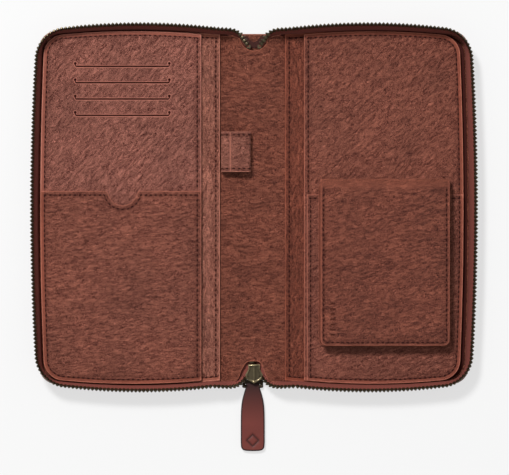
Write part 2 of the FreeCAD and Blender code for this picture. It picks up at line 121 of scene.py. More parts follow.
VIEW_CENTRE = (0.0003, -0.0188)
VIEW_WIDTH = 0.319
LENS = 250.0
SENSOR = 36.0
lens_data = bpy.data.cameras.new("overhead")
lens_data.lens = LENS
lens_data.sensor_width = SENSOR
camera = bpy.data.objects.new("overhead", lens_data)
camera.location = (*VIEW_CENTRE, VIEW_WIDTH * LENS / SENSOR)
scene.collection.objects.link(camera)
scene.camera = camera

# ---------------------------------------------------------------------------------------------------
# Outer shell: one hide of pebbled full-grain leather, skived and turned up round its rim over the board.
# Here it is two halves that meet along the middle of the spine.
# ---------------------------------------------------------------------------------------------------
def mm_box(node):
    """A CAD piece's lowest and highest corner in millimetres."""
    low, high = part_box(node)
    return np.array(low) / MM, np.array(high) / MM


def arc(centre, radius, turn):
    """Points round a centre at the given angles."""
    return np.stack([centre[0] + radius * np.cos(turn), centre[1] + radius * np.sin(turn)], 1)


def half_path(x_in, x_out, y_out, radius, bow):
    """The three bowed outer edges and two round corners of a right-hand layer, from bottom to top."""
    x_corner = x_out - bow
    y_corner = y_out - bow
    straight = x_corner - radius - x_in
    ends = np.linspace(-1, 1, 56)
    lower = np.stack([x_in + (ends + 1) / 2 * straight, -(y_corner + bow * (1 - ends**2))], 1)
    corner = arc((x_corner - radius, radius - y_corner), radius, np.radians(np.linspace(-90, 0, 16))[1:-1])
    rise = np.linspace(-1, 0, 56)
    side = np.stack([x_corner + bow * (1 - rise**2), rise * (y_corner - radius)], 1)
    below = np.concatenate([lower, corner, side])
    above = below[-2::-1] * (1, -1)
    return np.concatenate([below, above])


def run_between(start, end, step):
    """Evenly spaced points between two ends, without the ends themselves."""
    count = max(2, int(np.hypot(*(end - start)) / step))
    return np.linspace(start, end, count + 1)[1:-1]


def closed(path, step=2.0):
    """An outline closed by a straight run of points from its end back to its start."""
    return np.concatenate([path, run_between(path[-1], path[0], step)])


def left_of(path):
    """The same outline on the left of the spine, still running anticlockwise."""
    return (path * (-1, 1))[::-1]


def sided_plan(side, plan):
    """An outline drawn for the right of the spine, put on the side it is wanted."""
    return plan if side > 0 else left_of(plan)


def inset(loop, distance):
    """A closed anticlockwise outline moved inwards."""
    before = loop - np.roll(loop, 1, 0)
    after = np.roll(loop, -1, 0) - loop
    before /= np.hypot(*before.T)[:, None]
    after /= np.hypot(*after.T)[:, None]
    tangent = before + after
    tangent /= np.hypot(*tangent.T)[:, None]
    normal = np.stack([-tangent[:, 1], tangent[:, 0]], 1)
    stretch = np.clip((tangent * after).sum(1), 0.5, 1)
    return loop + normal * (distance / stretch)[:, None]


def inside(points, loop):
    """Which points lie inside a closed outline."""
    x, y = points[:, 0][:, None], points[:, 1][:, None]
    x1, y1 = loop.T
    x2, y2 = np.roll(loop, -1, 0).T
    crosses = (y1 > y) != (y2 > y)
    with np.errstate(divide="ignore", invalid="ignore"):
        where = x1 + (y - y1) * (x2 - x1) / (y2 - y1)
    return (crosses & (x < where)).sum(1) % 2 == 1


def distance_to(points, line, is_closed=True):
    """Distance from each point to a line of straight runs."""
    start = line if is_closed else line[:-1]
    end = np.roll(line, -1, 0) if is_closed else line[1:]
    best = np.full(len(points), 1e9)
    for first in range(0, len(points), 4000):
        some = points[first : first + 4000, None, :]
        run = end - start
        t = ((some - start) * run).sum(2) / np.maximum((run**2).sum(1), 1e-12)
        nearest = start + np.clip(t, 0, 1)[..., None] * run
        best[first : first + 4000] = np.sqrt(((some - nearest) ** 2).sum(2)).min(1)
    return best


def to_left(line):
    """At each point of a line, the direction square to it on its left."""
    along = np.gradient(line, axis=0)
    return np.stack([-along[:, 1], along[:, 0]], 1) / np.hypot(*along.T)[:, None]


def smoothed(t):
    """A soft step from 0 to 1."""
    t = np.clip(t, 0, 1)
    return t * t * (3 - 2 * t)


def ripple(points, size, height, seed=0.0):
    """Slow unevenness of a leather surface, the same on every run."""
    return np.array([noise.noise(Vector((x / size, y / size, seed))) for x, y in points]) * height


def flat_at(z):
    """The height of a piece that lies quite flat."""
    return lambda points: np.full(len(points), z)


RIM_WIDTH = 2.2


class Cut:
    """A flat piece of leather or cloth as a solid, with how near each of its points is to an edge."""

    def __init__(self, outline, thick, lift, holes=(), seams=(), marks=(), edge=0.35, cell=3.0, groove=0.18,
                 band=None, wave=0.12, deboss=0.3, square_at=None):
        lines = [(loop, True) for loop in (outline, *holes, *marks)]
        for off in (0.3 * edge, edge, edge + 0.35):
            lines += [(inset(outline, off), True)] + [(inset(hole, -off), True) for hole in holes]
        lines += [(inset(mark, part), True) for mark in marks for part in (0.2, -0.2)]
        for seam, is_closed in seams:
            lines += [(seam + to_left(seam) * off, is_closed) for off in (-0.55, 0.0, 0.55)]
        low, high = outline.min(0), outline.max(0)
        gx, gy = np.meshgrid(*(np.arange(low[k] + cell / 2, high[k], cell) for k in (0, 1)))
        gx = gx + cell / 4 * (np.arange(len(gx)) % 2)[:, None]
        grid = np.stack([gx.ravel(), gy.ravel()], 1)
        grid = grid[inside(grid, outline)]
        for line, is_closed in lines:
            grid = grid[distance_to(grid, line, is_closed) > 0.3 * cell]
        points = [grid]
        edges = []
        count = len(grid)
        for line, is_closed in lines:
            last = len(line) if is_closed else len(line) - 1
            edges += [(count + i, count + (i + 1) % len(line)) for i in range(last)]
            points.append(line)
            count += len(line)
        found = geometry.delaunay_2d_cdt([Vector(p) for p in np.concatenate(points)], edges, [], 1, 1e-5)
        plan = np.array([tuple(v) for v in found[0]])
        triangles = np.array([f for f in found[2] if len(f) == 3])
        middles = plan[triangles].mean(1)
        keep = inside(middles, outline)
        for hole in holes:
            keep &= ~inside(middles, hole)
        triangles = triangles[keep]
        a, b, c = (plan[triangles[:, i]] for i in range(3))
        area = (b[:, 0] - a[:, 0]) * (c[:, 1] - a[:, 1]) - (b[:, 1] - a[:, 1]) * (c[:, 0] - a[:, 0])
        triangles = np.where((area < 0)[:, None], triangles[:, ::-1], triangles)
        used = np.unique(triangles)
        again = np.zeros(len(plan), int)
        again[used] = np.arange(len(used))
        plan = plan[used]
        triangles = again[triangles]
        depth = distance_to(plan, outline)
        for hole in holes:
            depth = np.minimum(depth, distance_to(plan, hole))
        if square_at is not None:
            near_join = np.abs(plan[:, 0] - square_at) < 6
            depth = np.where(near_join, self.off_line(plan, outline, square_at), depth)
        roll = np.clip(1 - depth / edge, 0, 1)
        calm = smoothed(depth / 6)
        top = thick - edge * (1 - np.sqrt(np.maximum(0, 1 - roll**2)))
        top += ripple(plan, 14.0, wave, 3.0) * calm
        # Painted shade: the colour is made darker in the stitched seam grooves and in the stamped hollows.
        groove_shade = np.zeros(len(plan))
        for seam, is_closed in seams:
            close = np.exp(-((distance_to(plan, seam, is_closed) / 0.6) ** 2))
            top -= groove * close
            groove_shade = np.maximum(groove_shade, close)
        for mark in marks:
            sunk = inside(plan, inset(mark, 0.1))
            top -= deboss * sunk
            groove_shade = np.maximum(groove_shade, sunk)
        self.thick = thick
        self.lift = lift
        base = lift(plan)
        self.points = np.concatenate([np.column_stack([plan, base + top]), np.column_stack([plan, base])])
        size = len(plan)
        self.faces = [tuple(t) for t in triangles] + [tuple(t[::-1] + size) for t in triangles]
        sides = {(t[i], t[(i + 1) % 3]) for t in triangles for i in range(3)}
        self.faces += [(i, i + size, j + size, j) for i, j in sorted(sides) if (j, i) not in sides]
        # Painted highlight along the cut edges, which the pebbled leather's colour lightens; the puller's
        # smooth leather uses the same values for its real dark edge paint.
        self.edge_highlight_and_paint = np.tile(1 - smoothed((depth - edge) / 0.3), 2)
        strip = np.zeros(size)
        if band is not None:
            strip = 1 - smoothed((distance_to(plan, band, False) - RIM_WIDTH) / 0.35)
        self.band = np.tile(strip, 2)
        self.groove_shade = np.concatenate([groove_shade, np.zeros(size)])

    @staticmethod
    def off_line(plan, outline, x):
        """Distance to an outline's edge, leaving out its straight join along one value of x."""
        kept = np.abs((outline + np.roll(outline, -1, 0))[:, 0] / 2 - x) > 1e-6
        ends = np.roll(outline, -1, 0)
        run = (ends - outline)[kept]
        start = outline[kept]
        t = ((plan[:, None, :] - start) * run).sum(2) / np.maximum((run**2).sum(1), 1e-12)
        nearest = start + np.clip(t, 0, 1)[..., None] * run
        return np.sqrt(((plan[:, None, :] - nearest) ** 2).sum(2)).min(1)

    def surface(self, points):
        """Height of the piece's upper face, away from its edges."""
        return self.lift(points) + self.thick

    def shown(self, name, material, body=None, slot="inner_leather", stands_for=()):
        """The piece as a Blender object."""
        made = shown(name, self.points, self.faces, material, body, slot, stands_for)
        for label, values in (("edge_highlight_and_paint", self.edge_highlight_and_paint), ("smooth_band", self.band), ("groove_shade", self.groove_shade)):
            layer = made.data.attributes.new(label, "FLOAT", "POINT")
            layer.data.foreach_set("value", values.astype(np.float32))
        return made


def shown(name, points_mm, faces, material, body=None, slot=None, stands_for=(), angle=42.0):
    """A smooth-shaded object from points in millimetres, riding on its body."""
    mesh = bpy.data.meshes.new(name)
    mesh.from_pydata([tuple(p) for p in np.asarray(points_mm) * MM], [], faces)
    mesh.shade_smooth()
    mesh.set_sharp_from_angle(angle=math.radians(angle))
    mesh.materials.append(material)
    made = bpy.data.objects.new(name, mesh)
    scene.collection.objects.link(made)
    if body:
        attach(made, body)
    if stands_for:
        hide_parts(*stands_for)
    return made


def mapped(tree, value, start=(0.0, 1.0), end=(0.0, 1.0), **settings):
    """A value taken from one range to another."""
    return from_node(tree, "MapRange", "Result", {
        "Value": value, "From Min": start[0], "From Max": start[1], "To Min": end[0], "To Max": end[1],
    }, **settings)


def mixed(tree, factor, low, high):
    """A colour that goes from one to another as a factor rises."""
    return from_node(tree, "Mix", "Result", {"Factor": factor, "A": low, "B": high}, data_type="RGBA")


def leather(name, colour, angle=20.0, bump=1.0, gloss=0.42):
    """Pebbled full grain: small cells stretched along the hide's creases, with painted shade in their
    furrows and a painted highlight on the raised cells.
    """
    made, tree, shader = new_material(name)

    def shaded(*parts):
        return [x * part for x, part in zip(colour, parts)] + [1.0]

    place = from_node(tree, "TexCoord", "Object")
    turned = from_node(tree, "Mapping", "Vector", {
        "Vector": place, "Rotation": (0, 0, math.radians(-angle)), "Scale": (1000.0, 1000.0, 1000.0),
    })
    drift = from_node(tree, "TexNoise", "Color", {"Vector": turned, "Scale": 0.12, "Detail": 4.0})
    wander = from_node(tree, "VectorMath", 0, {0: drift, 1: (4.2, 4.2, 4.2)}, operation="MULTIPLY")
    moved = from_node(tree, "VectorMath", 0, {0: turned, 1: wander}, operation="ADD")
    cell_way = from_node(tree, "Mapping", "Vector", {"Vector": moved, "Scale": (0.36, 0.74, 0.5)})
    cells = from_node(tree, "TexVoronoi", "Distance", {"Vector": cell_way}, feature="DISTANCE_TO_EDGE")
    pebble = mapped(tree, cells, (0.0, 0.26), interpolation_type="SMOOTHSTEP")
    long_way = from_node(tree, "Mapping", "Vector", {"Vector": moved, "Scale": (0.24, 0.74, 0.5)})
    crease = from_node(tree, "TexNoise", "Fac", {"Vector": long_way, "Scale": 1.0, "Detail": 3.0})
    pore = from_node(tree, "TexNoise", "Fac", {"Vector": turned, "Scale": 2.6, "Detail": 2.0})
    creased = from_node(tree, "Math", 0, {0: crease, 1: 1.8, 2: pebble}, operation="MULTIPLY_ADD")
    height = from_node(tree, "Math", 0, {0: pore, 1: 0.3, 2: creased}, operation="MULTIPLY_ADD")
    band, edge_highlight_and_paint, groove_shade = (from_node(tree, "Attribute", "Fac", attribute_name=label)
                           for label in ("smooth_band", "edge_highlight_and_paint", "groove_shade"))
    calm = mapped(tree, band, end=(1.0, 0.3))
    flat = from_node(tree, "Math", 0, {0: height, 1: calm}, operation="MULTIPLY")
    relief = from_node(tree, "Bump", "Normal",
                       {"Strength": 1.0, "Distance": 0.0014 * bump, "Height": flat})
    cloud = from_node(tree, "TexNoise", "Fac", {"Vector": turned, "Scale": 0.035, "Detail": 3.0})
    # Painted shade and highlight: the grain's colour is made darker in its furrows and lighter and greyer
    # on its raised cells.
    furrow = mapped(tree, height, (1.15, 1.85))
    grain_shade_and_highlight = mixed(tree, furrow, shaded(0.22, 0.08, 0.06), shaded(1.95, 2.4, 2.55))
    rimmed = mixed(tree, band, grain_shade_and_highlight, shaded(1.0, 0.98, 0.96))
    # Painted highlight: the leather is made lighter along its cut edges.
    edge_highlighted = mixed(tree, edge_highlight_and_paint, rimmed, shaded(1.85, 2.2, 2.35))
    # Painted shade in the seam grooves and stamped hollows.
    groove_shaded = mixed(tree, mapped(tree, groove_shade, end=(0.0, 0.7)), edge_highlighted, shaded(0.4, 0.3, 0.28))
    patch = mapped(tree, cloud, (0.3, 0.7), (0.88, 1.14))
    whole = from_node(tree, "VectorMath", 0, {0: groove_shaded, "Scale": patch}, operation="SCALE")
    dull = mapped(tree, pebble, end=(gloss + 0.22, gloss))
    set_inputs(tree, shader, {"Base Color": whole, "Roughness": dull, "Normal": relief,
                              "Specular IOR Level": 0.27})
    return made


SIDES = ((-1, "left"), (1, "right"))
SHELL_RADIUS = 11.0
SHELL_BOW = 2.4
RIM_RISE = 1.1
COVER_X, COVER_Y, COVER_TOP = mm_box("right_cover")[1]
spine_low, spine_high = mm_box("spine_cover")
outside_leather = leather("outer_grain", srgb(152, 82, 61), angle=12.0)

foot_cut = [(0.0, -99.0), (8.2, -99.0), (9.0, -99.8), (9.0, spine_low[1]), (14.0, spine_low[1])]
head_cut = [(15.0, 110.2), (12.5, 109.2), (9.5, spine_high[1]), (4.0, spine_high[1]), (0.0, spine_high[1])]
turned_rim = half_path(18.0, COVER_X, COVER_Y, SHELL_RADIUS, SHELL_BOW)
shell_outline = closed(np.concatenate([foot_cut, turned_rim, head_cut]))


def fold_blend(made):
    """Bakes the piece's placement into its points."""
    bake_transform(made)


for side, name in SIDES:
    hide = Cut(sided_plan(side, shell_outline), COVER_TOP, flat_at(0.0), edge=0.55, cell=3.5, wave=0.0,
               square_at=0.0)
    rim = sided_plan(side, turned_rim)
    top = hide.points[: len(hide.points) // 2]
    top[:, 2] += RIM_RISE * (1 - smoothed((distance_to(top[:, :2], rim, False) - RIM_WIDTH) / 0.7))
    stands_for = [name + "_cover"] + (["spine_cover"] if side > 0 else [])
    made = hide.shown(name + "_shell", outside_leather, None, "outer_leather", stands_for)
    fold_blend(made)

# ---------------------------------------------------------------------------------------------------
# Zip tape and chain: a woven tape stands up from each cover's rim and leans out at its edge, where dark
# antique brass teeth are clamped on it. At the spine's head both run down into a notch, where the last
# teeth lie over flat and a tail of tape is turned under, coloured near-black as painted shade. At its foot
# they run into the slider.
# ---------------------------------------------------------------------------------------------------
EDGE_Z = 12.4
ROOT_Z = 2.2
TAPE_THICK = 0.5
LEAN_STRAIGHT = math.radians(26)
LEAN_CORNER = math.radians(10)
LEAN_NOTCH = math.radians(74)
TOOTH_PITCH = 2.45
EDGE_INSET = 1.35
EDGE_RADIUS = 19.0
EDGE_BOW = 2.6
RUN_IN = 26.0
chain_high = mm_box("right_zip_teeth")[1]
edge_plan = half_path(RUN_IN, chain_high[0] - EDGE_INSET, chain_high[1] - EDGE_INSET, EDGE_RADIUS, EDGE_BOW)
root_plan = half_path(RUN_IN, COVER_X - RIM_WIDTH, COVER_Y - RIM_WIDTH, SHELL_RADIUS, SHELL_BOW)


def smooth_route(points, count):
    """A smooth line through a few points of a route."""
    points = np.array(points, float)
    run_on = np.concatenate([2 * points[:1] - points[1:2], points, 2 * points[-1:] - points[-2:-1]])
    out = []
    for i in range(len(points) - 1):
        a, b, c, d = run_on[i : i + 4]
        for t in np.linspace(0, 1, count, endpoint=False):
            out.append(0.5 * (2 * b + (c - a) * t + (2 * a - 5 * b + 4 * c - d) * t**2
                              + (3 * b - a - 3 * c + d) * t**3))
    out.append(points[-1])
    return np.array(out)


TOP_EDGE = [(*edge_plan[-1], EDGE_Z), (20.5, 110.9, 12.2), (15.0, 110.6, 11.6), (11.2, 109.6, 10.4),
            (8.6, 107.4, 9.2), (6.8, 104.7, 8.2), (5.2, 102.4, 7.4), (3.3, 100.9, 6.9)]
TOP_ROOT = [(*root_plan[-1], ROOT_Z), (20.5, 108.5, 2.8), (15.0, 108.1, 3.8), (11.2, 107.2, 4.6),
            (8.1, 105.2, 5.0), (7.2, 102.5, 5.2), (5.4, 100.5, 5.2), (3.0, 99.2, 5.2)]
FOOT_EDGE = [(*edge_plan[0], EDGE_Z), (20.5, -111.6, 12.0), (15.0, -111.8, 10.4), (11.0, -111.1, 8.2),
             (8.0, -109.4, 6.2), (5.6, -106.8, 4.7), (3.2, -104.2, 4.3)]
FOOT_ROOT = [(*root_plan[0], ROOT_Z), (20.5, -109.0, 2.8), (15.0, -108.6, 3.6), (11.4, -107.2, 4.2),
             (9.2, -104.6, 4.3), (7.9, -101.4, 4.3), (7.3, -97.6, 4.2)]
FOOT_MOUTH = [(2.7, -101.2, 4.3), (2.4, -97.4, 4.3)]


def woven(name, low, bright, waves=(("DIAGONAL", 420.0), ("Z", 560.0)), distortion=0.6,
          relief=(0.7, 0.0002), roughness=0.85, sheen=0.2):
    """Cloth or thread: bands of yarn that cross, darker where they are low. It starts as zip tape."""
    made, tree, shader = new_material(name)
    place = from_node(tree, "TexCoord", "Object")
    bands = [from_node(tree, "TexWave", "Fac", {"Vector": place, "Scale": scale, "Distortion": distortion},
                       bands_direction=way) for way, scale in waves]
    weave = bands[0]
    for band in bands[1:]:
        weave = from_node(tree, "Math", 0, {0: weave, 1: band}, operation="MAXIMUM")
    knit = from_node(tree, "Bump", "Normal",
                     {"Strength": relief[0], "Distance": relief[1], "Height": weave})
    set_inputs(tree, shader, {"Base Color": mixed(tree, weave, low, bright), "Roughness": roughness,
                              "Specular IOR Level": sheen, "Normal": knit})
    return made


tape_cloth = woven("woven_tape", srgb(66, 29, 24), srgb(118, 62, 53))
# A near-black copy of the tape cloth, used only as painted shade in the notch at the spine's head.
painted_shade_tape = woven("painted_shade_tape", srgb(30, 13, 11), srgb(58, 27, 22))


def aged_brass(name, low, bright):
    """Brass dipped dark, polished bright again on its corners."""
    made, tree, shader = new_material(name)
    place = from_node(tree, "TexCoord", "Object")
    tarnish = from_node(tree, "TexNoise", "Fac", {"Vector": place, "Scale": 700.0, "Detail": 5.0})
    rub = mapped(tree, from_node(tree, "NewGeometry", "Pointiness"), (0.49, 0.60))
    patina = from_node(tree, "Math", 0, {0: tarnish, 1: rub, 2: 0.1}, operation="MULTIPLY_ADD")
    pit = from_node(tree, "Bump", "Normal", {"Strength": 0.25, "Distance": 0.0001, "Height": tarnish})
    set_inputs(tree, shader, {"Base Color": mixed(tree, patina, low, bright), "Metallic": 0.9,
                              "Roughness": 0.36, "Normal": pit})
    return made


brass = aged_brass("antique_brass", srgb(50, 44, 33), srgb(172, 156, 120))
black_brass = aged_brass("black_brass", srgb(24, 19, 15), srgb(104, 92, 70))


def strip_faces(rows, count):
    """The faces of a closed strip with two skins, each of that many rows of points."""
    faces = []
    back = rows * count
    top = (rows - 1) * count
    for r in range(rows - 1):
        for i in range(count - 1):
            a = r * count + i
            faces.append((a, a + 1, a + 1 + count, a + count))
            faces.append((back + a + count, back + a + count + 1, back + a + 1, back + a))
    for i in range(count - 1):
        faces.append((top + i, top + i + 1, back + top + i + 1, back + top + i))
        faces.append((back + i, back + i + 1, i + 1, i))
    for r in range(rows - 1):
        a = r * count
        b = a + count - 1
        faces.append((a, a + count, back + a + count, back + a))
        faces.append((back + b, back + b + count, b + count, b))
    return faces


def ribbon(edge, root):
    """A closed strip of tape between its sewn root and its toothed edge, leaning out towards the edge."""
    rows = 8
    lift = np.linspace(0, 1, rows)
    outwards = -to_left(edge[:, :2])
    points = []
    for shift in (TAPE_THICK / 2, -TAPE_THICK / 2):
        for t, s in zip(lift, lift**1.7):
            plan = root[:, :2] * (1 - s) + edge[:, :2] * s + outwards * shift
            points.append(np.column_stack([plan, root[:, 2] * (1 - t) + edge[:, 2] * t]))
    return np.concatenate(points), strip_faces(rows, len(edge))


def tooth_points():
    """One tooth: x along the tape, y across it, z out to its head. It is broad where it clamps on."""
    rows = [(0.0, 1.02, 0.80), (0.35, 1.12, 0.95), (1.35, 1.12, 0.95), (1.75, 0.92, 0.86),
            (2.15, 0.66, 0.80), (2.60, 0.50, 0.72), (2.95, 0.34, 0.46)]
    sides = 8
    points = []
    for z, half_long, half_thick in rows:
        for k in range(sides):
            angle = (k + 0.5) * 2 * math.pi / sides
            x = half_long * math.copysign(min(1, abs(math.cos(angle)) * 1.12), math.cos(angle))
            y = half_thick * math.copysign(min(1, abs(math.sin(angle)) * 1.12), math.sin(angle))
            points.append((x, y, z - 0.8))
    faces = []
    for r in range(len(rows) - 1):
        for k in range(sides):
            n = (k + 1) % sides
            faces.append((r * sides + k, r * sides + n, (r + 1) * sides + n, (r + 1) * sides + k))
    faces.append(tuple(reversed(range(sides))))
    faces.append(tuple((len(rows) - 1) * sides + k for k in range(sides)))
    return np.array(points), faces


TOOTH_POINTS, TOOTH_FACES = tooth_points()


def chain(line, lean):
    """Teeth at the zip's pitch along a line in space. lean is each point's tilt of the heads outwards."""
    runs = np.sqrt((np.diff(line, axis=0) ** 2).sum(1))
    along = np.concatenate([[0], np.cumsum(runs)])
    points = []
    faces = []
    for place in np.arange(TOOTH_PITCH / 2, along[-1], TOOTH_PITCH):
        spot, ahead, behind = (np.array([np.interp(place + off, along, line[:, k]) for k in range(3)])
                               for off in (0, 0.5, -0.5))
        way = (ahead - behind) / np.linalg.norm(ahead - behind)
        out = np.array([way[1], -way[0], 0]) / max(1e-9, math.hypot(way[0], way[1]))
        tilt = np.interp(place, along, lean)
        head = out * math.sin(tilt) + np.array([0, 0, 1]) * math.cos(tilt)
        head -= way * (head @ way)
        head /= np.linalg.norm(head)
        across = np.cross(head, way)
        first = len(points) * len(TOOTH_POINTS)
        points.append(spot + TOOTH_POINTS @ np.stack([way, across, head]))
        faces += [tuple(first + i for i in f) for f in TOOTH_FACES]
    return np.concatenate(points), faces


def flipped(made):
    """Points and faces mirrored to the left of the spine."""
    points, faces = made
    return np.asarray(points) * (-1, 1, 1), [tuple(reversed(f)) for f in faces]


def sided(side, made):
    """Points and faces made for the right of the spine, put on the side they are wanted."""
    return made if side > 0 else flipped(made)


CORNER_X = 129.0
CORNER_Y = 105.0
CORNER_REACH = 15.0
LIE_OVER_X = 11.5
near_corner = np.hypot(edge_plan[:, 0] - CORNER_X, np.abs(edge_plan[:, 1]) - CORNER_Y) / CORNER_REACH
main_lean = LEAN_STRAIGHT + (LEAN_CORNER - LEAN_STRAIGHT) * np.exp(-(near_corner**2))
main_edge = np.column_stack([edge_plan, np.full(len(edge_plan), EDGE_Z)])
main_root = np.column_stack([root_plan, np.full(len(root_plan), ROOT_Z)])
top_edge = smooth_route(TOP_EDGE, 8)
foot_edge = smooth_route(FOOT_EDGE, 8)[::-1]
foot_root = smooth_route(FOOT_ROOT, 8)[::-1]
mouth_edge = smooth_route(FOOT_EDGE + FOOT_MOUTH, 6)[::-1]
along_mouth, along_root = (np.linspace(0, 1, len(line)) for line in (mouth_edge, foot_root))
mouth_root = np.stack([np.interp(along_mouth, along_root, axis) for axis in foot_root.T], 1)
ends = {"top": (top_edge, top_edge, smooth_route(TOP_ROOT, 8), ["head_teeth"], ["head_tape"]),
        "foot": (foot_edge, mouth_edge, mouth_root, [], [])}
for side, name in SIDES:
    body = name + "_half"
    shown(name + "_tape", *sided(side, ribbon(main_edge, main_root)), tape_cloth, body, "zip_tape",
          [name + "_zip_tape"])
    shown(name + "_teeth", *sided(side, chain(main_edge, main_lean)), black_brass, body, "antique_brass",
          [name + "_zip_teeth"])
    for end, (line, edge, root, teeth_nodes, tape_nodes) in ends.items():
        tape = shown("_".join((name, end, "tape_end")), *sided(side, ribbon(edge, root)), tape_cloth, None,
                     "zip_tape", tape_nodes)
        laid_over = smoothed((LIE_OVER_X - line[:, 0]) / 4) if end == "top" else np.zeros(len(line))
        lean = LEAN_STRAIGHT + (LEAN_NOTCH - LEAN_STRAIGHT) * laid_over
        row = shown("_".join((name, end, "teeth_end")), *sided(side, chain(line, lean)), black_brass, None,
                    "antique_brass", teeth_nodes)
        for piece in (tape, row):
            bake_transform(piece)


def finished(node, material, bevel=0.0):
    """A hard CAD piece keeps its shape and gets its real finish, with its edges eased."""
    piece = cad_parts[node]
    piece.data.materials.clear()
    piece.data.materials.append(material)
    if bevel:
        eased = piece.modifiers.new("eased edges", "BEVEL")
        eased.width = bevel * MM
        eased.segments = 2
        eased.limit_method = "ANGLE"


def corners_of(low, high):
    """The four corners of a rectangle, anticlockwise from its lower left."""
    return np.array([low, (high[0], low[1]), high, (low[0], high[1])])


def sheet(name, node, plan, material, body, slot, edge, cell, lift=None, wave=0.0):
    """A thin sheet of that outline, as thick as its CAD piece and as high."""
    low, high = mm_box(node)
    made = Cut(plan, high[2] - low[2], lift or flat_at(low[2]), edge=edge, cell=cell, wave=wave)
    return made.shown(name, material, body, slot, [node])


for node in ("left_top_stop", "right_top_stop", "bottom_stop", "tail_teeth"):
    finished(node, black_brass, 0.25)

# Painted shade: a near-black sheet of tape cloth lies in the notch at the spine's head, under the last
# teeth.
turned_outer = np.array([(7.9, 107.2), (7.0, 104.6), (5.4, 102.0), (3.2, 100.5), (0.0, 99.8)])
turned_inner = np.array([(0.0, 103.4), (2.2, 104.6), (4.0, 107.2)])
turned_outer = np.concatenate([turned_outer, turned_outer[-2::-1] * (-1, 1)])
turned_inner = np.concatenate([turned_inner[:0:-1] * (-1, 1), turned_inner])
turned_plan = closed(np.concatenate([turned_outer, turned_inner])[::-1], 0.9)
notch_tape_shade = Cut(turned_plan, 0.3, flat_at(COVER_TOP + 0.15), edge=0.08, cell=0.9, wave=0.0)
notch_tape_shade.shown("notch_tape_painted_shade", painted_shade_tape, "spine", "zip_tape")

TAIL_INNER = 1.5
tail_low, tail_high = mm_box("tail_tape")
tail_plan = closed(corners_of((TAIL_INNER, tail_low[1]), tail_high[:2]))
for side, name in SIDES:
    sheet(name + "_tail_tape", "tail_tape", sided_plan(side, tail_plan), tape_cloth, "spine", "zip_tape",
          0.12, 1.5, wave=0.12)

# ---------------------------------------------------------------------------------------------------
# Spine lining: soft pebbled leather glued over the spine, rising at both ends into a hood with a rolled
# rim, over the zip's two ends at the top and over its slider at the foot.
# ---------------------------------------------------------------------------------------------------
LINING_LOW = 2.5
LINING_THICK = 0.5
HOOD_RISE = 3.3
HOOD_START = 68.0
HOOD_LEVEL = 92.0
NOTCH_RADIUS = 8.8
NOTCH_CENTRE = (0.0, 106.8)
spine_leather = leather("spine_grain", srgb(150, 79, 59), angle=4.0, gloss=0.42)

top_notch = arc(NOTCH_CENTRE, NOTCH_RADIUS, np.radians(np.linspace(-8, -90, 18)))
top_rim = np.concatenate([[(24.0, 107.7), (20.0, 107.6), (16.0, 107.3), (12.5, 106.9), (10.2, 106.3)],
                          top_notch])
foot_rims = {1: [(0.0, -96.2), (2.4, -96.3), (3.9, -97.3), (5.0, -99.4), (6.6, -103.4), (8.2, -107.0),
                 (10.4, -108.7), (14.0, -109.2), (24.0, -109.4)],
             -1: [(0.0, -96.2), (3.2, -96.3), (4.9, -97.3), (6.6, -99.6), (8.4, -103.4), (9.8, -107.0),
                  (11.6, -108.7), (14.0, -109.2), (24.0, -109.4)]}


def hood(points, rims):
    """The lining lies flat along the spine and rises at both ends, highest at the notch rims."""
    x = np.abs(points[:, 0])
    y = np.abs(points[:, 1])
    up = smoothed((y - HOOD_START) / (HOOD_LEVEL - HOOD_START)) * (1 - smoothed((x - 9.5) / 8.5))
    near = np.min([distance_to(points, rim, False) for rim in rims], axis=0)
    turn = np.arctan2(points[:, 0], np.abs(y - 107))
    spread = np.array([noise.noise(Vector((t * 7, d * 0.06, 4.0))) for t, d in zip(turn, y)])
    pucker = 0.5 * spread * smoothed((y - 80) / 18) * np.exp(-near / 9)
    beyond = smoothed((x - 17.5) / 2.0)
    soft = ripple(points, 9.0, 0.16, 2.0) * (1 - beyond)
    rolled = 0.55 * np.exp(-(near**2))
    return LINING_LOW + (HOOD_RISE * up + rolled * (1 - beyond) + pucker * (1 - beyond) + soft)


for side, name in SIDES:
    foot_rim = smooth_route(foot_rims[side], 4)
    rims = [rim * (side, 1) for rim in (top_rim, foot_rim)]
    outer_edge = np.linspace(foot_rim[-1], top_rim[0], 90)[1:-1]
    plan = sided_plan(side, closed(np.concatenate([foot_rim, outer_edge, top_rim])))
    lining = Cut(plan, LINING_THICK, lambda points: hood(points, rims), edge=0.3, cell=1.5, wave=0.0,
                 square_at=0.0)
    made = lining.shown(name + "_spine_lining", spine_leather, None, "inner_leather",
                        ["spine_lining"] if side > 0 else [])
    fold_blend(made)

finished("spine_board", leather("board_fibre", srgb(150, 128, 104), bump=0.3, gloss=0.7))

# ---------------------------------------------------------------------------------------------------
# Inner panels: pebbled leather, each sewn to the cover's rim with waxed thread 2.6 mm from its edge. The
# rim itself is skived smooth. Behind them lie the boards, the textile lining and thin welts.
# ---------------------------------------------------------------------------------------------------
PANEL_RADIUS = 13.0
PANEL_BOW = 2.0
SEAM_IN = 2.6
panel_low, panel_high = mm_box("right_facing_panel")
PANEL_Y = panel_high[1]
STITCH_PITCH = 3.1

thread = woven("waxed_thread", srgb(34, 10, 8), srgb(56, 21, 17), (("DIAGONAL", 900.0),), 1.0,
               (0.5, 0.0001), 0.6, 0.1)


def running_length(line):
    """The length along a line from its start to each of its points."""
    return np.concatenate([[0], np.cumsum(np.hypot(*np.diff(line, axis=0).T))])


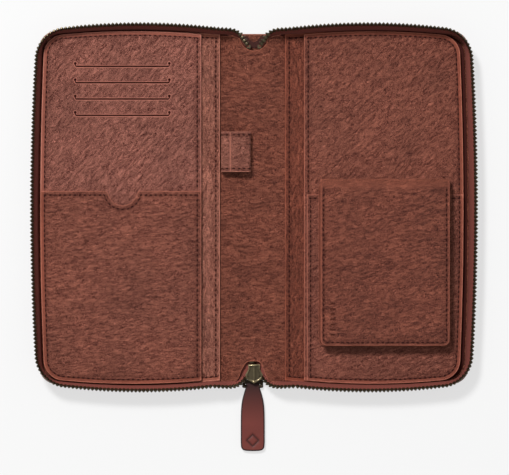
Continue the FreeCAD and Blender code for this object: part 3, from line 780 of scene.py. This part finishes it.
def stitches(name, piece, seams, body, where=None, pitch=STITCH_PITCH, placed=None):
    """Separate thread stitches lying in a piece's seams, joined into one object."""
    sides = 6
    rings = np.linspace(-1, 1, 5)
    angles = np.linspace(0, 2 * math.pi, sides, endpoint=False)
    points = []
    faces = []
    for seam, is_closed in seams:
        line = np.concatenate([seam, seam[:1]]) if is_closed else seam
        along = running_length(line)
        count = max(1, int(along[-1] / pitch))
        spots = (np.arange(count) + 0.5) * along[-1] / count
        at, ahead, behind = (np.stack([np.interp(spots + off, along, line[:, k]) for k in (0, 1)], 1)
                             for off in (0, 0.4, -0.4))
        shown_here = where(at) if where else np.ones(count, bool)
        tops = piece.surface(at)
        for middle, front, back, top in zip(at[shown_here], ahead[shown_here], behind[shown_here],
                                            tops[shown_here]):
            way = (front - back) / max(1e-9, np.hypot(*(front - back)))
            across = np.array([-way[1], way[0]])
            first = len(points)
            for t in rings:
                fat = 0.42 * math.sqrt(1.02 - t * t)
                for angle in angles:
                    spot = middle + way * 1.05 * t + across * fat * math.cos(angle)
                    points.append((*spot, top + fat * 0.8 * math.sin(angle) - 0.02 - 0.25 * t * t))
            for k in range(len(rings) - 1):
                base = first + k * sides
                for i in range(sides):
                    j = (i + 1) % sides
                    faces.append((base + i, base + sides + i, base + sides + j, base + j))
            faces.append(tuple(first + i for i in range(sides)))
            faces.append(tuple(first + (len(rings) - 1) * sides + i for i in reversed(range(sides))))
    points = placed(np.array(points)) if placed else points
    return shown(name, points, faces, thread, body, "inner_leather", angle=80.0)


def panel_path(node, shrink=0.0):
    """The three sewn sides of an inner panel, drawn for the right cover."""
    low, high = np.abs(mm_box(node))
    return half_path(min(low[0], high[0]), max(low[0], high[0]) - shrink, PANEL_Y - shrink,
                     PANEL_RADIUS - shrink, PANEL_BOW)


def level(z):
    """The height of a flat piece, with the slight unevenness of soft leather."""
    return lambda points: np.full(len(points), z) + ripple(points, 26.0, 0.22, 5.0)


textile = woven("lining_textile", srgb(34, 12, 10), srgb(58, 24, 20), (("X", 500.0), ("Y", 500.0)), 0.0,
                (0.5, 0.0001), 0.9, 0.08)
card_leather = leather("card_panel_grain", srgb(169, 98, 81), angle=48.0, gloss=0.46)
strip_leather = leather("strip_grain", srgb(177, 104, 84), angle=82.0, gloss=0.45)
passport_leather = leather("passport_grain", srgb(158, 86, 67), angle=8.0, gloss=0.46)
facing_leather = leather("facing_grain", srgb(156, 85, 66), angle=40.0, gloss=0.43)
right_strip_leather = leather("right_strip_grain", srgb(143, 71, 51), angle=84.0, gloss=0.43)
slip_leather = leather("slip_grain", srgb(156, 86, 68), angle=20.0, gloss=0.46)
welt_leather = leather("welt_grain", srgb(137, 74, 54), gloss=0.5)
board_fibre = bpy.data.materials["board_fibre"]

WELT = 2.5
PANEL_THICK = 0.9
for side, name in SIDES:
    body = name + "_half"
    finished(name + "_board", board_fibre)
    plan = sided_plan(side, closed(panel_path(name + "_lining")))
    sheet(name + "_textile_lining", name + "_lining", plan, textile, body, "lining_textile", 0.1, 8.0)
    outer, inner = (panel_path(name + "_edge_welt", shrink) for shrink in (0.0, WELT))
    plan = sided_plan(side, np.concatenate([outer, inner[::-1]]))
    sheet(name + "_welt", name + "_edge_welt", plan, welt_leather, body, "inner_leather", 0.15, 1.2)


def panel(name, node, side, material, visible, plan=None, holes=(), extra=None, seam_in=SEAM_IN):
    """One sewn panel with its seam and stitches. visible says which stitches nothing lies over."""
    low, high = mm_box(node)
    zip_side = panel_path(node)
    plan = sided_plan(side, closed(zip_side)) if plan is None else plan
    seams = [(inset(plan, seam_in), True)]
    base = level(low[2])
    lift = (lambda points: base(points) + extra(points)) if extra else base
    thick = min(PANEL_THICK, high[2] - low[2])
    piece = Cut(plan, thick, lift, holes=holes, seams=seams, cell=2.6, band=sided_plan(side, zip_side))
    body = ("left" if side < 0 else "right") + "_half"
    piece.shown(name, material, body, "inner_leather", [node])
    stitches(name + "_stitches", piece, seams, body, visible)


# ---------------------------------------------------------------------------------------------------
# Left inside: a document pocket across the whole cover, a panel with four card slots cut into it over
# thin textile pockets, and a passport pocket with a thumb notch. Each slot ends in two punched holes.
# ---------------------------------------------------------------------------------------------------
SLOT_X = 82.3
SLOT_LENGTH = 59.5
SLOT_WIDTH = 0.85
SLOT_TOP = 88.1
SLOT_PITCH = 10.2
SLOT_RISE = 1.9
HOLE_RADIUS = 0.85
CARD_EDGE = -mm_box("left_card_panel")[1][0]
passport_low, passport_high = mm_box("passport_pocket")
PASSPORT_TOP = passport_high[1]
THUMB_X = 82.1
THUMB_RADIUS = 9.0


def slot_outline(y):
    """One slit, turned up at both ends to a round hole."""
    half = SLOT_LENGTH / 2
    gap = SLOT_WIDTH / 2
    turn = np.radians(np.linspace(-62, 242, 14))
    cap = np.stack([HOLE_RADIUS * np.cos(turn), HOLE_RADIUS * np.sin(turn) + y + SLOT_RISE], 1)
    lower = np.linspace((1.1 - half, y - gap), (half - 1.1, y - gap), 26)
    upper = np.linspace((half - 1.3, y + gap), (1.3 - half, y + gap), 26)
    right = np.concatenate([lower, [(half - 0.3, y + 0.1)], cap + (half - 0.35, 0),
                            [(half - 0.75, y + 0.55)]])
    left = np.concatenate([upper, [(0.75 - half, y + 0.55)], cap + (0.35 - half, 0),
                           [(0.3 - half, y + 0.1)]])
    return np.concatenate([right, left]) - (SLOT_X, 0)


slots = [slot_outline(SLOT_TOP - row * SLOT_PITCH) for row in range(4)]


def lips(points):
    """The lower edge of each slot curls up a little where cards have scuffed it."""
    x, y = points.T
    rise = np.zeros(len(points))
    for row in range(4):
        below = SLOT_TOP - row * SLOT_PITCH - y
        in_line = smoothed((SLOT_LENGTH / 2 + 1 - np.abs(x + SLOT_X)) / 3)
        rise += 0.35 * np.exp(-np.clip(below, 0, 99) / 1.3) * (below > -0.05) * in_line
        rise -= 0.20 * np.exp(-np.clip(-below, 0, 99) / 1.6) * (below < -0.05) * in_line
    return rise


panel("left_document_panel_leather", "left_document_panel", -1, strip_leather,
      lambda p: p[:, 0] > -CARD_EDGE + 0.6)
panel("card_panel_leather", "left_card_panel", -1, card_leather, lambda p: p[:, 1] > PASSPORT_TOP + 0.8,
      holes=slots, extra=lips)
for number in range(1, 5):
    node = "card_pocket_%d" % number
    low, high = mm_box(node)
    corners = corners_of(low[:2], high[:2])
    plan = np.concatenate([np.linspace(a, b, 30)[:-1] for a, b in zip(corners, np.roll(corners, -1, 0))])
    sheet("card_pocket_cloth_%d" % number, node, plan, textile, "left_half", "lining_textile", 0.08, 5.0,
          level(low[2]))

full = panel_path("left_card_panel")
sides_below = full[full[:, 1] < PASSPORT_TOP - 0.8]
thumb = arc((THUMB_X, PASSPORT_TOP), THUMB_RADIUS, np.radians(np.linspace(-14, -166, 22)))
shoulder = [(THUMB_X + THUMB_RADIUS + 2.0, PASSPORT_TOP),
            (THUMB_X + THUMB_RADIUS + 0.9, PASSPORT_TOP - 0.35),
            (THUMB_X + THUMB_RADIUS + 0.25, PASSPORT_TOP - 1.2)]
other = [(2 * THUMB_X - x, y) for x, y in reversed(shoulder)]
top_right = np.linspace((sides_below[-1][0], PASSPORT_TOP), shoulder[0], 18)[:-1]
top_left = np.linspace(other[-1], (CARD_EDGE, PASSPORT_TOP), 18)[1:]
plan = left_of(closed(np.concatenate([sides_below, top_right, shoulder, thumb, other, top_left])))


def full_pocket(points):
    """The passport pocket is lowest at its sewn sides and fuller in its middle."""
    x, y = -points[:, 0], points[:, 1]
    across = smoothed((x - CARD_EDGE) / 22) * smoothed((-passport_low[0] - x) / 22)
    return 0.9 * across * smoothed((y + PANEL_Y) / 30)


panel("passport_pocket_leather", "passport_pocket", -1, passport_leather, None, plan=plan,
      extra=full_pocket)

# ---------------------------------------------------------------------------------------------------
# Right inside: a document pocket, a facing panel over it, and a slip pocket across the lower part. All
# are the same pebbled leather, sewn together through the cover's rim on three sides.
# ---------------------------------------------------------------------------------------------------
slip_low, slip_high = mm_box("right_slip_pocket")
SLIP_TOP = slip_high[1]
pouch_low, pouch_high = mm_box("pouch_flap")
FACING_EDGE = panel_low[0]
panel("right_document_panel_leather", "right_document_panel", 1, right_strip_leather,
      lambda p: p[:, 0] < FACING_EDGE - 0.6)
panel("facing_panel_leather", "right_facing_panel", 1, facing_leather,
      lambda p: p[:, 1] > SLIP_TOP + 0.6)
full = panel_path("right_slip_pocket")
sides_below = full[full[:, 1] < SLIP_TOP - 0.8]
top_edge = np.linspace((sides_below[-1][0], SLIP_TOP), (slip_low[0], SLIP_TOP), 50)
plan = closed(np.concatenate([sides_below, top_edge]))


def clear_of_pouch(points):
    """Which stitches the pouch doesn't hide."""
    x, y = points.T
    return (x < pouch_low[0] - 1.5) | (x > pouch_high[0] + 0.5) | (y < pouch_low[1] - 0.5)


panel("slip_pocket_leather", "right_slip_pocket", 1, slip_leather, clear_of_pouch, plan=plan, seam_in=2.4)

# ---------------------------------------------------------------------------------------------------
# Coin pouch on the right cover: a back, a bellows side, a front with a magnet in it, and one piece of
# leather that folds over the top as a padded flap. The flap is stitched 2 mm in from its three free sides.
# ---------------------------------------------------------------------------------------------------
POUCH_CORNER = 4.0
FLAP_THICK = 1.2
FLAP_SEAM = 2.0
pouch_leather = leather("pouch_grain", srgb(145, 75, 56), angle=14.0, gloss=0.44)
back_low, back_high = mm_box("pouch_back")
side_low, side_high = mm_box("pouch_gusset")
front_low, front_high = mm_box("pouch_front")
fold_low, fold_high = mm_box("pouch_fold")


def rounded_plan(low, high, radius, top_radius=None, step=2.5):
    """A rectangle with round corners, anticlockwise from its lower left."""
    top_radius = radius if top_radius is None else top_radius
    corners = [((low[0] + radius, low[1] + radius), 180, radius),
               ((high[0] - radius, low[1] + radius), 270, radius),
               ((high[0] - top_radius, high[1] - top_radius), 0, top_radius),
               ((low[0] + top_radius, high[1] - top_radius), 90, top_radius)]
    points = []
    for centre, start, turn_radius in corners:
        bend = arc(centre, turn_radius, np.radians(np.linspace(start, start + 90, 8)))
        if points:
            points.append(run_between(points[-1][-1], bend[0], step))
        points.append(bend)
    return closed(np.concatenate(points), step)


back_plan = rounded_plan(back_low[:2] - (1.0, 0.6), back_high[:2] + (0.3, 0), POUCH_CORNER)
back = Cut(back_plan, back_high[2] - back_low[2], level(back_low[2]),
           seams=[(inset(back_plan, 1.0), True)], cell=3.0)
back.shown("pouch_back_leather", pouch_leather, "right_half", "inner_leather", ["pouch_back"])


def bellows(path, z_low, z_high, thick, depth):
    """A side wall of soft leather along a path, folded inwards along its middle."""
    rows = 13
    inwards = to_left(path)
    points = []
    for shift in (0.0, thick):
        for t in np.linspace(0, 1, rows):
            sunk = depth * math.sin(math.pi * t) ** 2 + shift
            points.append(np.column_stack([path + inwards * sunk,
                                           np.full(len(path), z_low + t * (z_high - z_low))]))
    return np.concatenate(points), strip_faces(rows, len(path))


wall = rounded_plan(side_low[:2] + 0.6, side_high[:2] - (0.6, 0), POUCH_CORNER)
turned_back = np.argmin(np.hypot(wall[:, 0] - wall[:, 0].min(), wall[:, 1] - side_high[1] + POUCH_CORNER))
wall = np.roll(wall, -turned_back, 0)
wall = wall[wall[:, 1] < side_high[1] - POUCH_CORNER + 0.1]
shown("pouch_bellows", *bellows(wall, side_low[2] - 0.05, side_high[2] + 0.05, 0.8, 1.1), pouch_leather,
      "right_half", "inner_leather", ["pouch_gusset"])

FRONT_FULLNESS = 0.15
FRONT_REACH = 14.0


def front_lift(points):
    """The pouch's front is a little fuller in its middle than at its edges."""
    x, y = points.T
    across = smoothed((x - front_low[0]) / FRONT_REACH) * smoothed((front_high[0] - x) / FRONT_REACH)
    return front_low[2] + FRONT_FULLNESS * across * smoothed((y - front_low[1]) / FRONT_REACH)


front_plan = rounded_plan(front_low[:2], front_high[:2], POUCH_CORNER)
front = Cut(front_plan, FLAP_THICK, front_lift, seams=[(inset(front_plan, 1.6), True)], cell=3.2)
front.shown("pouch_front_leather", pouch_leather, "right_half", "inner_leather", ["pouch_front"])

fold_y = fold_high[1] - FLAP_THICK
flap_inner = smooth_route([(fold_y - 0.1, fold_low[2] + 0.1), (fold_y, 9.8), (fold_y - 0.5, 11.4),
                           (fold_y - 1.9, 12.75), (fold_y - 4.2, 13.45), (fold_y - 7.0, 13.66),
                           (fold_y - 10.0, 13.62)], 8)
flap_inner = np.concatenate([flap_inner, [(-40.0, 13.55), (pouch_low[1], 13.5)]])
flap_run = running_length(flap_inner)
flap_outwards = -to_left(flap_inner)


def folded_over(points):
    """Takes a flap drawn flat, its length along Y from the crease, up the pouch's back and over its top."""
    x, along, height = points.T
    run = np.clip(along, flap_run[0], flap_run[-1])
    y, z = (np.interp(run, flap_run, flap_inner[:, k]) for k in (0, 1))
    out_y, out_z = (np.interp(run, flap_run, flap_outwards[:, k]) for k in (0, 1))
    return np.stack([x, y + out_y * height, z + out_z * height], 1)


def run_at(y):
    """Length along the flap, from its crease, of a point on its flat part."""
    return flap_run[-1] - (y - pouch_low[1])


flap_low = np.array([pouch_low[0], 0.0])
flap_high = np.array([pouch_high[0], flap_run[-1]])
flap_plan = rounded_plan(flap_low, flap_high, 0.8, POUCH_CORNER)
flap_seam = inset(flap_plan, FLAP_SEAM)
seam_start = run_at(13.4)
flap_seam = flap_seam[flap_seam[:, 1] > seam_start]
gap = int(np.argmax(np.hypot(*np.diff(np.concatenate([flap_seam, flap_seam[:1]]), axis=0).T)))
flap_seam = np.roll(flap_seam, -gap - 1, 0)
MARK_X = 49.2
MARK_TOP = -60.2
MARK_PITCH = 3.2
bars = []
for row in range(7):
    middle = np.array([MARK_X, run_at(MARK_TOP - MARK_PITCH * row)])
    reach = np.array([1.9 if row % 2 else 1.5, 0.62])
    bars.append(rounded_plan(middle - reach, middle + reach, 0.35, step=0.8))


def padded(points):
    """The flap is padded: fuller over the fold and in its middle than at its sewn sides."""
    x, run = points.T
    across = smoothed((x - pouch_low[0]) / 5) * smoothed((pouch_high[0] - x) / 5)
    end = smoothed((flap_run[-1] - run) / 5)
    return 0.16 * across * end


flap = Cut(flap_plan, FLAP_THICK, padded, seams=[(flap_seam, False)], marks=bars, cell=2.2, edge=0.5,
           wave=0.1, deboss=0.45)
flap.points = folded_over(flap.points)
# Painted highlight along the top of the padded fold where the flap turns over; it uses the same attribute
# as the edge highlight.
FOLD_CREST = 14.4
crest_highlight = 0.5 * np.exp(-(((flap.points[:, 1] - FOLD_CREST) / 2.2) ** 2))
flap.edge_highlight_and_paint = np.maximum(flap.edge_highlight_and_paint, crest_highlight)
made = flap.shown("pouch_flap_leather", pouch_leather, None, "inner_leather", ["pouch_flap", "pouch_fold"])
stitches("flap_stitches", flap, [(flap_seam, False)], "pouch_flap", placed=folded_over)
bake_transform(made)
steel, tree, shader = new_material("magnet_steel")
brushed = from_node(tree, "TexNoise", "Fac", {"Scale": 1500.0, "Detail": 3.0})
set_inputs(tree, shader, {"Base Color": srgb(190, 190, 192), "Metallic": 1.0,
                          "Roughness": mapped(tree, brushed, end=(0.25, 0.45))})
for node in ("pouch_magnet", "flap_magnet"):
    finished(node, steel)

# ---------------------------------------------------------------------------------------------------
# Pen loop: a band of leather bent into a flat tube and sewn into the document panel's edge. It is
# stitched along both open ends.
# ---------------------------------------------------------------------------------------------------
LOOP_THICK = 0.9
loop_low, loop_high = mm_box("pen_loop")
loop_leather = leather("loop_grain", srgb(165, 96, 78), angle=6.0, gloss=0.42)
loop_radius = (loop_high[2] - loop_low[2]) / 2 - LOOP_THICK
centre_z = (loop_high[2] + loop_low[2]) / 2
flat_left = loop_low[0] + LOOP_THICK + loop_radius
flat_right = loop_high[0] - LOOP_THICK - loop_radius
turns = np.radians(np.linspace(90, -90, 16))
right_turn = arc((flat_right, centre_z), loop_radius, turns)
left_turn = arc((flat_left, centre_z), -loop_radius, turns)
loop_inner = np.concatenate([right_turn, left_turn, right_turn[:1]])
loop_run = running_length(loop_inner)
loop_out = to_left(loop_inner)
start_run = loop_run[-1] - (flat_right - flat_left) * 0.5 - (math.pi * loop_radius) / 2


def bent_round(points):
    """Takes the loop's leather, drawn flat with its length along X, round its tube."""
    along, y, height = points.T
    run = np.mod(along + start_run, loop_run[-1])
    x, z = (np.interp(run, loop_run, loop_inner[:, k]) for k in (0, 1))
    out_x, out_z = (np.interp(run, loop_run, loop_out[:, k]) for k in (0, 1))
    return np.stack([x + out_x * height, y, z + out_z * height], 1)


loop_plan = rounded_plan(np.array([0.0, loop_low[1]]), np.array([loop_run[-1], loop_high[1]]), 0.3,
                         step=1.0)
loop_seams = [(np.linspace((0.6, y), (loop_run[-1] - 0.6, y), 60), False)
              for y in (loop_low[1] + 2.0, loop_high[1] - 2.0)]
loop = Cut(loop_plan, LOOP_THICK, flat_at(0.0), seams=loop_seams, cell=1.0, edge=0.3, wave=0.0)
loop.points = bent_round(loop.points)
loop.shown("pen_loop_leather", loop_leather, "pen_loop", "inner_leather", ["pen_loop"])
stitches("pen_loop_stitches", loop, loop_seams, "pen_loop", placed=bent_round)

# ---------------------------------------------------------------------------------------------------
# Slider and puller: a cast slider in antique brass with a ridged shield, a dark wire link through its
# bridge with a small plate across it, and a smooth leather tab with painted edges and a stamped lozenge.
# ---------------------------------------------------------------------------------------------------
slider_low, slider_high = mm_box("slider_body")
finished("slider_body", brass, 0.2)
finished("puller_link", black_brass)
full_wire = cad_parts["puller_link"].modifiers.new("full wire", "DISPLACE")
full_wire.strength = 0.45 * MM
full_wire.mid_level = 0.0
NECK_HALF = 3.3
shield_side = smooth_route([(NECK_HALF, slider_high[1] - 0.3), (NECK_HALF + 0.1, -100.6), (4.3, -102.8),
                            (5.1, -104.6), (4.9, -106.6), (3.0, -108.4), (0.0, slider_low[1] + 0.4)], 5)
shield_plan = closed(np.concatenate([shield_side[::-1], shield_side[:-1] * (-1, 1)]), 0.8)


def ridged(points):
    """The shield is cast with a raised rim and a ridge down its middle, and falls away between them."""
    depth = distance_to(points, shield_plan)
    rim = 0.28 * np.exp(-(((depth - 0.45) / 0.3) ** 2))
    ridge = 0.42 * np.exp(-np.abs(points[:, 0]) / 0.7) * smoothed(depth / 0.8)
    return slider_high[2] - 0.15 + rim + ridge


shield = Cut(shield_plan, 0.22, ridged, edge=0.16, cell=0.45, wave=0.0)
shield.shown("slider_shield", brass, "zip_slider", "antique_brass")

link_low, link_high = mm_box("puller_link")
PLATE_IN = 0.6
PLATE_LOW_Y = -110.7
PLATE_HIGH_Y = -107.9
plate_plan = corners_of((link_low[0] + PLATE_IN, PLATE_LOW_Y), (link_high[0] - PLATE_IN, PLATE_HIGH_Y))
plate = Cut(closed(plate_plan, 0.7), 1.1, flat_at(link_low[2] + 0.1), edge=0.2, cell=0.8, wave=0.0)
plate.shown("link_plate", black_brass, "puller_link", "antique_brass")

tab_low, tab_high = mm_box("puller_tab")
tab_x = (tab_low[0] + tab_high[0]) / 2
TAB_HALF = (tab_high[0] - tab_low[0]) / 2
tab_side = smooth_route([(4.2, tab_high[1] + 0.7), (4.5, -112.8), (5.6, -116.6), (6.7, -121.0),
                         (7.3, -126.0), (TAB_HALF, -132.0), (TAB_HALF + 0.05, -141.0),
                         (TAB_HALF - 0.05, -148.6), (6.7, -151.2), (4.6, -152.3), (0.0, tab_low[1])], 6)
tab_plan = np.concatenate([tab_side[::-1], tab_side[:-1] * (-1, 1)]) + (tab_x, 0)
tab_plan = closed(tab_plan, 1.0)
LOZENGE_Y = -145.8
LOZENGE_HALF = 3.7
corners = np.array([(1, 0), (0, 1), (-1, 0), (0, -1)]) * LOZENGE_HALF + (tab_x, LOZENGE_Y)
lozenge = np.concatenate([np.linspace(a, b, 7)[:-1] for a, b in zip(corners, np.roll(corners, -1, 0))])

tab_leather, tree, shader = new_material("smooth_tab_leather")
place = from_node(tree, "TexCoord", "Object")
fine = from_node(tree, "TexNoise", "Fac", {"Vector": place, "Scale": 1400.0, "Detail": 4.0})
mottle = from_node(tree, "TexNoise", "Fac", {"Vector": place, "Scale": 90.0, "Detail": 3.0})
# Painted shadow of the slider: the tab's colour goes near-black towards its neck, under the slider and
# link.
slider_shadow = mapped(tree, from_node(tree, "SeparateXYZ", "Y", {"Vector": place}), (-0.135, -0.112))
painted, sunk = (from_node(tree, "Attribute", "Fac", attribute_name=label) for label in ("edge_highlight_and_paint", "groove_shade"))
calfskin = mixed(tree, mottle, srgb(88, 39, 34), srgb(100, 46, 39))
slider_shadowed = mixed(tree, slider_shadow, calfskin, srgb(44, 18, 16))
# Painted shade in the stamped lozenge's groove.
lozenge_groove_shaded = mixed(tree, sunk, slider_shadowed, srgb(46, 18, 15))
edged = mixed(tree, painted, lozenge_groove_shaded, srgb(40, 20, 19))
skin = from_node(tree, "Bump", "Normal", {"Strength": 0.3, "Distance": 0.0001, "Height": fine})
set_inputs(tree, shader, {"Base Color": edged, "Normal": skin, "Roughness": 0.5, "Specular IOR Level": 0.2})

tab = Cut(tab_plan, tab_high[2] - tab_low[2], flat_at(tab_low[2]), seams=[(lozenge, True)], cell=0.9,
          edge=0.7, wave=0.08, groove=0.35)
tab.shown("puller_leather", tab_leather, "puller_tab", "puller_leather", ["puller_tab"])
